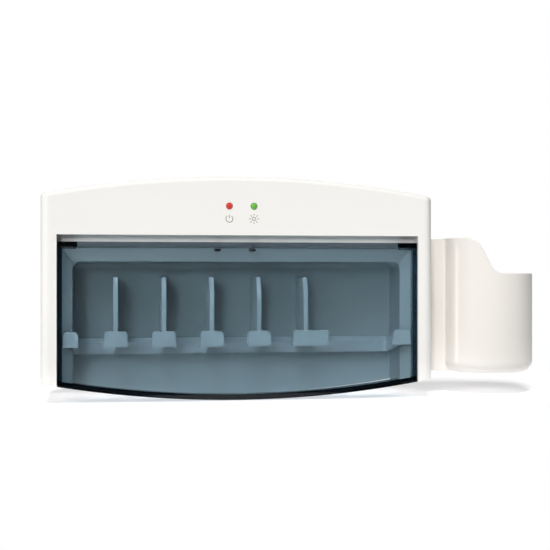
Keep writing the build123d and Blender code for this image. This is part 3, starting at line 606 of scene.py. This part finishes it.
class Dresser:
    """Gives finishes to the fixed frame's pieces and keeps one material for each finish."""

    def __init__(self, frame: dict[str, Any]) -> None:
        """Keeps the frame's nodes.

        Args:
            frame: What the frame's loader returned.
        """
        self.nodes: dict[str, bpy.types.Object] = frame["nodes"]
        self.made: dict[str, bpy.types.Material] = {}

    def material(self, finish: Finish) -> bpy.types.Material:
        """The material of a finish, made the first time it is asked for.

        Args:
            finish: The finish.

        Returns:
            Its material.
        """
        if finish.name not in self.made:
            self.made[finish.name] = finish.build()
        return self.made[finish.name]

    def dress(self, finish: Finish, *names: str) -> None:
        """Gives one finish to the nodes of these names.

        Args:
            finish: The finish.
            names: Names of nodes of the frame.
        """
        for name in names:
            mesh = self.nodes[name].data
            mesh.materials.clear()
            mesh.materials.append(self.material(finish))
            LOG.info("dressed %s in %s", name, finish.name)

    def piece(
        self, name: str, shape: bmesh.types.BMesh, finish: Finish, smooth_angle: float = 35.0
    ) -> bpy.types.Object:
        """Turns a finished bmesh into a piece that is fixed to the case.

        Args:
            name: The piece's name.
            shape: Its mesh, in metres and in place. It is freed.
            finish: Its finish.
            smooth_angle: Edges that turn less than this many degrees are shaded smooth.

        Returns:
            The new object, at the origin.
        """
        bmesh.ops.recalc_face_normals(shape, faces=shape.faces)
        mesh = bpy.data.meshes.new(name)
        shape.to_mesh(mesh)
        shape.free()
        mesh.materials.append(self.material(finish))
        thing = bpy.data.objects.new(name, mesh)
        bpy.context.scene.collection.objects.link(thing)
        mesh.shade_smooth()
        mesh.set_sharp_from_angle(angle=math.radians(smooth_angle))
        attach(thing, CASE_BODY)
        LOG.info("built %s with %d faces", name, len(mesh.polygons))
        return thing


@dataclass
class Case:
    """The white shell, its back plate and the parts fixed inside it.

    A generic symbol is printed under each indicator lamp. The shares are parts of a symbol's width or radius.
    """

    dresser: Dresser
    palette: Palette
    symbol_drop: float = 9.3
    symbol_stroke: float = 0.5
    symbol_height: float = 0.05
    power_width: float = 5.6
    power_gap: float = 70.0
    power_bar_share: float = 0.95
    power_bar_start_share: float = 0.15
    ray_width: float = 7.4
    ray_ring_share: float = 0.17
    ray_length_share: float = 0.17
    ray_start_share: float = 0.33
    ray_count: int = 8
    ring_steps: int = 28

    def build(self) -> None:
        """Dresses the shell and its insides and prints the symbols."""
        dress = self.dresser.dress
        paint = self.palette
        dress(paint.white_abs, "front_housing", "back_plate", "cup_rail")
        # The liner's darker colour is painted shade and the rack's paler colour is painted light, on one and
        # the same ABS
        dress(paint.liner_abs_painted_shade, "inner_liner")
        dress(paint.rack_abs_painted_light, "brush_rack")
        dress(paint.black_nylon, "door_switch_left", "door_switch_right", "inlet_jack")
        dress(paint.black_nylon, "switch_plunger_left", "switch_plunger_right")
        dress(paint.zinc, "board_screws", "rack_screws", "liner_screws", "rail_screws")
        dress(paint.red_lens, "red_led")
        dress(paint.green_lens, "green_led")
        self.print_symbol(Symbol.POWER, "red_led")
        self.print_symbol(Symbol.RAYS, "green_led")

    def print_symbol(self, symbol: Symbol, lamp: str) -> None:
        """Prints a symbol on the face of the case, under an indicator lamp.

        Args:
            symbol: Which symbol.
            lamp: The lamp's node.
        """
        low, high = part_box(lamp)
        middle = (low + high) / 2
        place = Vector((middle.x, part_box("front_housing")[0].y, middle.z - self.symbol_drop * MM))
        shape = bmesh.new()
        if symbol is Symbol.POWER:
            self.add_power(shape, place)
        else:
            self.add_rays(shape, place)
        self.dresser.piece(symbol.value, shape, self.palette.ink)

    def add_power(self, shape: bmesh.types.BMesh, place: Vector) -> None:
        """Adds an open ring with a bar in its gap.

        Args:
            shape: The mesh that gets it.
            place: Its centre, in metres.
        """
        radius = self.power_width / 2 - self.symbol_stroke / 2
        gap = math.radians(self.power_gap)
        self.add_ring(shape, radius, gap / 2, 2 * math.pi - gap, place)
        self.add_bar(shape, radius * self.power_bar_share, 0.0, radius * self.power_bar_start_share, place)

    def add_rays(self, shape: bmesh.types.BMesh, place: Vector) -> None:
        """Adds a small ring with rays all round, for the germicidal lamp.

        Args:
            shape: The mesh that gets it.
            place: Its centre, in metres.
        """
        width = self.ray_width
        self.add_ring(shape, width * self.ray_ring_share, 0.0, 2 * math.pi, place)
        for n in range(self.ray_count):
            turn = 2 * math.pi * n / self.ray_count
            self.add_bar(shape, width * self.ray_length_share, turn, width * self.ray_start_share, place)

    def add_bar(
        self, shape: bmesh.types.BMesh, length: float, turn: float, reach: float, place: Vector
    ) -> None:
        """Adds one printed bar that points away from a centre.

        Args:
            shape: The mesh that gets the bar.
            length: The bar's length, in millimetres.
            turn: Its direction, in radians from straight up.
            reach: Distance from the centre to the bar's near end, in millimetres.
            place: The centre, in metres.
        """
        size = Matrix.Diagonal((self.symbol_stroke * MM, self.symbol_height * MM, length * MM, 1))
        shift = Matrix.Translation((0, 0, (reach + length / 2) * MM))
        matrix = Matrix.Translation(place) @ Matrix.Rotation(turn, 4, "Y") @ shift @ size
        bmesh.ops.create_cube(shape, size=1.0, matrix=matrix)

    def add_ring(
        self, shape: bmesh.types.BMesh, radius: float, start: float, sweep: float, place: Vector
    ) -> None:
        """Adds a printed ring, or a part of one.

        Args:
            shape: The mesh that gets the ring.
            radius: Its middle radius, in millimetres.
            start: Where it starts, in radians from straight up.
            sweep: How far it runs, in radians.
            place: Its centre, in metres.
        """
        matrix = (
            Matrix.Translation(place)
            @ Matrix.Rotation(start, 4, "Y")
            @ Matrix.Translation((0, 0, radius * MM))
            @ Matrix.Diagonal((1.0, self.symbol_height * MM, self.symbol_stroke * MM, 1))
            @ Matrix.Rotation(math.pi / 2, 4, "Y")
        )
        made = bmesh.ops.create_grid(shape, x_segments=1, y_segments=1, size=0.5, matrix=matrix)
        face = made["verts"][0].link_faces[0]
        full = math.isclose(sweep, 2 * math.pi)
        bmesh.ops.spin(
            shape,
            geom=[*face.verts, *face.edges, face],
            cent=place,
            axis=(0, 1, 0),
            angle=sweep,
            steps=self.ring_steps,
            use_merge=full,
        )
        if full:
            bmesh.ops.delete(shape, geom=[face], context="FACES_ONLY")


@dataclass
class BackScrews:
    """The six pan-head screws with a cross recess that hold the back plate."""

    dresser: Dresser
    palette: Palette
    edge_inset: float = 5.2
    side_z: float = 58.0
    head_top_y: float = -0.05
    head_radius: float = 2.75
    head_height: float = 1.45
    head_edge: float = 0.35
    edge_step: float = 0.105
    shank_radius: float = 1.45
    thread_depth: float = 0.3
    thread_root: float = 0.44
    thread_flank: float = 0.33
    thread_turns: int = 11
    recess_span: float = 3.2
    recess_depth: float = 1.0
    recess_taper: float = 0.55
    drive_turn: float = 0.7
    smooth_angle: float = 30.0
    sides: int = 24

    def build(self) -> None:
        """Builds the six screws as one piece that stands for the plain ones."""
        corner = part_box("back_plate")[1] / MM
        side_x, crown_z = corner.x - self.edge_inset, corner.z - self.edge_inset
        places = [(x, z) for z in (self.side_z, -self.side_z) for x in (-side_x, side_x)]
        places += [(0.0, crown_z), (0.0, -crown_z)]
        shape = bmesh.new()
        for number, (x, z) in enumerate(places):
            place = Matrix.Translation(Vector((x, self.head_top_y, z)) * MM)
            # Driven home by hand, so that no two recesses end at the same angle
            turn = Matrix.Rotation(self.drive_turn * number, 4, "Z")
            self.add_screw(shape, place @ Matrix.Rotation(math.radians(-90), 4, "X") @ turn)
        screws = self.dresser.piece("back_screws", shape, self.palette.zinc, self.smooth_angle)
        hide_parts("case_screws")

    def add_screw(self, shape: bmesh.types.BMesh, place: Matrix) -> None:
        """Adds one screw.

        Args:
            shape: The mesh that gets it.
            place: Where its head's top stands, with the screw pointing down its own Z axis.
        """
        before = set(shape.verts)
        radius = self.head_radius - self.head_edge
        rim = self.sink_recess(shape)
        crown = set(
            bmesh.ops.create_circle(shape, segments=self.sides, radius=radius * MM, cap_ends=False)["verts"]
        )
        edges = [e for e in shape.edges if crown.issuperset(e.verts)]
        bmesh.ops.bridge_loops(shape, edges=rim + edges)
        for new_radius, drop in self.profile():
            ring = bmesh.ops.extrude_edge_only(shape, edges=edges)["geom"]
            verts = [v for v in ring if isinstance(v, bmesh.types.BMVert)]
            edges = [e for e in ring if isinstance(e, bmesh.types.BMEdge) and e.is_boundary]
            bmesh.ops.scale(shape, vec=(new_radius / radius, new_radius / radius, 1), verts=verts)
            bmesh.ops.translate(shape, vec=(0, 0, -drop * MM), verts=verts)
            radius = new_radius
        bmesh.ops.holes_fill(shape, edges=edges, sides=self.sides)
        bmesh.ops.transform(shape, matrix=place, verts=[v for v in shape.verts if v not in before])

    def sink_recess(self, shape: bmesh.types.BMesh) -> list[bmesh.types.BMEdge]:
        """Sinks a cross recess from the plane of the head's top.

        Args:
            shape: The mesh that gets it.

        Returns:
            The edges round the recess's mouth.
        """
        before = set(shape.faces)
        half = self.recess_span / 2 * MM
        bmesh.ops.create_grid(shape, x_segments=3, y_segments=3, size=half)
        squares = [f for f in shape.faces if f not in before]
        # A cross is a grid of nine squares without its corners
        corners = [f for f in squares if all(abs(part) > half / 3 for part in f.calc_center_median().xy)]
        cross = [f for f in squares if f not in corners]
        rim = [e for e in shape.edges if sum(f in cross for f in e.link_faces) == 1]
        sunk = bmesh.ops.extrude_face_region(shape, geom=cross)["geom"]
        floor = [v for v in sunk if isinstance(v, bmesh.types.BMVert)]
        bmesh.ops.scale(shape, vec=(self.recess_taper, self.recess_taper, 1), verts=floor)
        bmesh.ops.translate(shape, vec=(0, 0, -self.recess_depth * MM), verts=floor)
        bmesh.ops.delete(shape, geom=[f for f in (*cross, *corners) if f.is_valid], context="FACES")
        return [e for e in rim if e.is_valid]

    def profile(self) -> list[tuple[float, float]]:
        """The screw's outline below its flat top.

        Returns:
            For each step, the new radius and how far it lies below the last one, in millimetres.
        """
        root = self.shank_radius - self.thread_depth
        steps = [
            (self.head_radius - self.edge_step, self.edge_step),
            (self.head_radius, self.head_edge - self.edge_step),
            (self.head_radius, self.head_height - self.head_edge),
            (root, 0.0),
        ]
        for _ in range(self.thread_turns):
            steps.append((root, self.thread_root))
            steps.append((self.shank_radius, self.thread_flank))
            steps.append((root, self.thread_flank))
        return steps


@dataclass
class Lamp:
    """The germicidal lamp with its caps, sockets and reflector, and the electronics that feed it."""

    dresser: Dresser
    palette: Palette

    def build(self) -> None:
        """Dresses the lamp and the electronics."""
        dress = self.dresser.dress
        paint = self.palette
        dress(paint.quartz, "lamp_tube")
        dress(paint.cap_aluminium, "lamp_cap_left", "lamp_cap_right")
        dress(paint.socket_plastic, "lamp_socket_left", "lamp_socket_right")
        dress(paint.bright_sheet, "lamp_reflector")
        dress(paint.solder_mask, "control_board")
        dress(paint.coil_tape, "ballast_coil")
        dress(paint.sleeve, "filter_capacitors")
        dress(paint.wire_cover, "lead_wires")


@dataclass
class Door:
    """The smoked door and its pins."""

    dresser: Dresser
    palette: Palette

    def build(self) -> None:
        """Dresses the door and its pins."""
        self.dresser.dress(self.palette.smoked, "door")
        self.dresser.dress(self.palette.pin_steel, "hinge_pin_left", "hinge_pin_right")


@dataclass
class Cup:
    """The lift-off cup."""

    dresser: Dresser
    palette: Palette

    def build(self) -> None:
        """Dresses the cup."""
        # The cup's finish holds painted shade: a colour a little darker than the case's white
        self.dresser.dress(self.palette.cup_abs_painted_dimmer, "cup_holder")


@dataclass(frozen=True)
class SunLight:
    """A broad, even light from far away.

    The share is how bright it makes a white matt sheet that faces it, where 1 is white. The width is how
    wide the light looks from the object, in degrees.
    """

    name: str
    source: tuple[float, float, float]
    share: float
    width: float


@dataclass
class Studio:
    """Pale floor, soft lights and the camera of the photograph's view."""

    floor_drop: float = 0.6
    floor_low: tuple[float, float] = (-330.0, -125.0)
    floor_high: tuple[float, float] = (440.0, 120.0)
    floor_colour: str = "#CACACE"
    floor_roughness: float = 0.8
    floor_glow: float = 0.53
    camera_at: tuple[float, float, float] = (-95.6, -881.8, 9.8)
    camera_yaw: float = 8.53
    lens: float = 72.0
    sensor_width: float = 36.0
    nearest: float = 10.0
    farthest: float = 50000.0
    backdrop: float = 1.0
    room_colour: str = "#FBFBFF"
    fill: float = 0.01
    gloss_dim: float = 0.05
    gloss_bright: float = 0.6
    dim_cone: tuple[float, float] = (0.55, 0.85)
    suns: tuple[SunLight, ...] = (
        SunLight("low_sun", (-0.33, -1.0, 0.25), 0.25, 8.0),
        SunLight("side_sun", (-1.0, -1.0, 0.45), 0.15, 12.0),
        SunLight("middle_sun", (-0.3, -1.0, 1.4), 0.42, 12.0),
        SunLight("high_sun", (-0.3, -1.0, 2.2), 0.48, 12.0),
        SunLight("under_sun", (-0.3, -0.8, -1.0), 0.42, 40.0),
        SunLight("back_sun", (0.5, 1.0, -0.25), 0.8, 16.0),
    )
    strip_at: tuple[float, float, float] = (149.0, -53.0, -15.0)
    strip_size: tuple[float, float] = (2.5, 95.0)
    strip_watts: float = 0.006

    def build(self) -> None:
        """Sets the floor, the world, the lights and the camera."""
        self.lay_floor()
        self.light_world()
        for sun in self.suns:
            self.add_sun(sun)
        self.hang_strip()
        self.set_camera()
        # White stays white, as in the photograph
        bpy.context.scene.view_settings.view_transform = "Standard"

    def lay_floor(self) -> None:
        """Lays the pale floor a little below the object."""
        (left, front), (right, rear) = self.floor_low, self.floor_high
        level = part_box("front_housing")[0].z / MM - self.floor_drop
        place = Matrix.Translation(Vector(((left + right) / 2, (front + rear) / 2, level)) * MM)
        size = Matrix.Diagonal(((right - left) * MM, (rear - front) * MM, 1, 1))
        shape = bmesh.new()
        bmesh.ops.create_grid(shape, x_segments=1, y_segments=1, size=0.5, matrix=place @ size)
        mesh = bpy.data.meshes.new("floor")
        shape.to_mesh(mesh)
        shape.free()
        floor = bpy.data.objects.new("floor", mesh)
        bpy.context.scene.collection.objects.link(floor)
        material, shader, _ = Finish("pale_paper_sweep", self.floor_colour, self.floor_roughness).start()
        shader.inputs["Emission Color"].default_value = WHITE
        shader.inputs["Emission Strength"].default_value = self.floor_glow
        mesh.materials.append(material)

    def light_world(self) -> None:
        """Makes the world plain white behind the object, and bright in its gloss except from the front."""
        world = bpy.data.worlds.new("studio")
        bpy.context.scene.world = world
        world.use_nodes = True
        tree = world.node_tree
        tree.nodes.clear()
        room = linear(self.room_colour)
        seen = add_node(tree, "ShaderNodeBackground", {"Color": WHITE, "Strength": self.backdrop}, {})
        cast = add_node(tree, "ShaderNodeBackground", {"Color": room, "Strength": self.fill}, {})
        # A dim room in front keeps the door clear; walls and ceiling shine in metal and on rounded edges
        place = add_node(tree, "ShaderNodeTexCoord", {}, {})
        ahead = add_node(
            tree,
            "ShaderNodeVectorMath",
            {"operation": "DOT_PRODUCT", 1: (0, -1, 0)},
            {0: place.outputs["Generated"]},
        )
        near, far = self.dim_cone
        shine = add_node(
            tree,
            "ShaderNodeMapRange",
            {
                "interpolation_type": "SMOOTHSTEP",
                "From Min": near,
                "From Max": far,
                "To Min": self.gloss_bright,
                "To Max": self.gloss_dim,
            },
            {"Value": ahead.outputs["Value"]},
        )
        shone = add_node(tree, "ShaderNodeBackground", {"Color": room}, {"Strength": shine.outputs["Result"]})
        path = add_node(tree, "ShaderNodeLightPath", {}, {})
        unseen = add_node(
            tree,
            "ShaderNodeMixShader",
            {},
            {0: path.outputs["Is Glossy Ray"], 1: cast.outputs[0], 2: shone.outputs[0]},
        )
        everything = add_node(
            tree,
            "ShaderNodeMixShader",
            {},
            {0: path.outputs["Is Camera Ray"], 1: unseen.outputs[0], 2: seen.outputs[0]},
        )
        add_node(tree, "ShaderNodeOutputWorld", {}, {"Surface": everything.outputs[0]})

    def add_sun(self, sun: SunLight) -> None:
        """Adds one sun, which lights matt surfaces and leaves the highlights to the strip and the room.

        Args:
            sun: The light's name, direction, strength and width.
        """
        data = bpy.data.lights.new(sun.name, "SUN")
        data.energy = math.pi * sun.share
        data.angle = math.radians(sun.width)
        light = bpy.data.objects.new(sun.name, data)
        bpy.context.scene.collection.objects.link(light)
        light.visible_glossy = False
        light.matrix_world = Vector(sun.source).to_track_quat("Z", "Y").to_matrix().to_4x4()

    def hang_strip(self) -> None:
        """Hangs a narrow upright strip that only shows as a highlight down the cup's side."""
        data = bpy.data.lights.new("highlight_strip", "AREA")
        data.shape = "RECTANGLE"
        data.size, data.size_y = (side * MM for side in self.strip_size)
        data.energy = self.strip_watts
        light = bpy.data.objects.new("highlight_strip", data)
        bpy.context.scene.collection.objects.link(light)
        light.visible_camera = False
        light.visible_diffuse = False
        light.visible_transmission = False
        towards_cup = Vector((-1, 0, 0)).to_track_quat("Z", "Y").to_matrix().to_4x4()
        light.matrix_world = Matrix.Translation(Vector(self.strip_at) * MM) @ towards_cup

    def set_camera(self) -> None:
        """Places the camera where the photograph was taken from."""
        data = bpy.data.cameras.new("photograph_view")
        data.lens = self.lens
        data.sensor_width = self.sensor_width
        data.clip_start = self.nearest * MM
        data.clip_end = self.farthest * MM
        camera = bpy.data.objects.new("photograph_view", data)
        bpy.context.scene.collection.objects.link(camera)
        yaw = Matrix.Rotation(math.radians(-self.camera_yaw), 4, "Z")
        level = Matrix.Rotation(math.radians(90), 4, "X")
        camera.matrix_world = Matrix.Translation(Vector(self.camera_at) * MM) @ yaw @ level
        bpy.context.scene.camera = camera


def main() -> None:
    """Builds the scene in order: case, screws, lamp, door, cup and studio."""
    logging.basicConfig(level=logging.INFO, format="%(name)s: %(message)s")
    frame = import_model()
    dresser = Dresser(frame)
    palette = Palette()
    builders: list[Callable[[], None]] = [
        Case(dresser, palette).build,
        BackScrews(dresser, palette).build,
        Lamp(dresser, palette).build,
        Door(dresser, palette).build,
        Cup(dresser, palette).build,
        Studio().build,
    ]
    for build in builders:
        build()


if __name__ == "__main__":
    main()
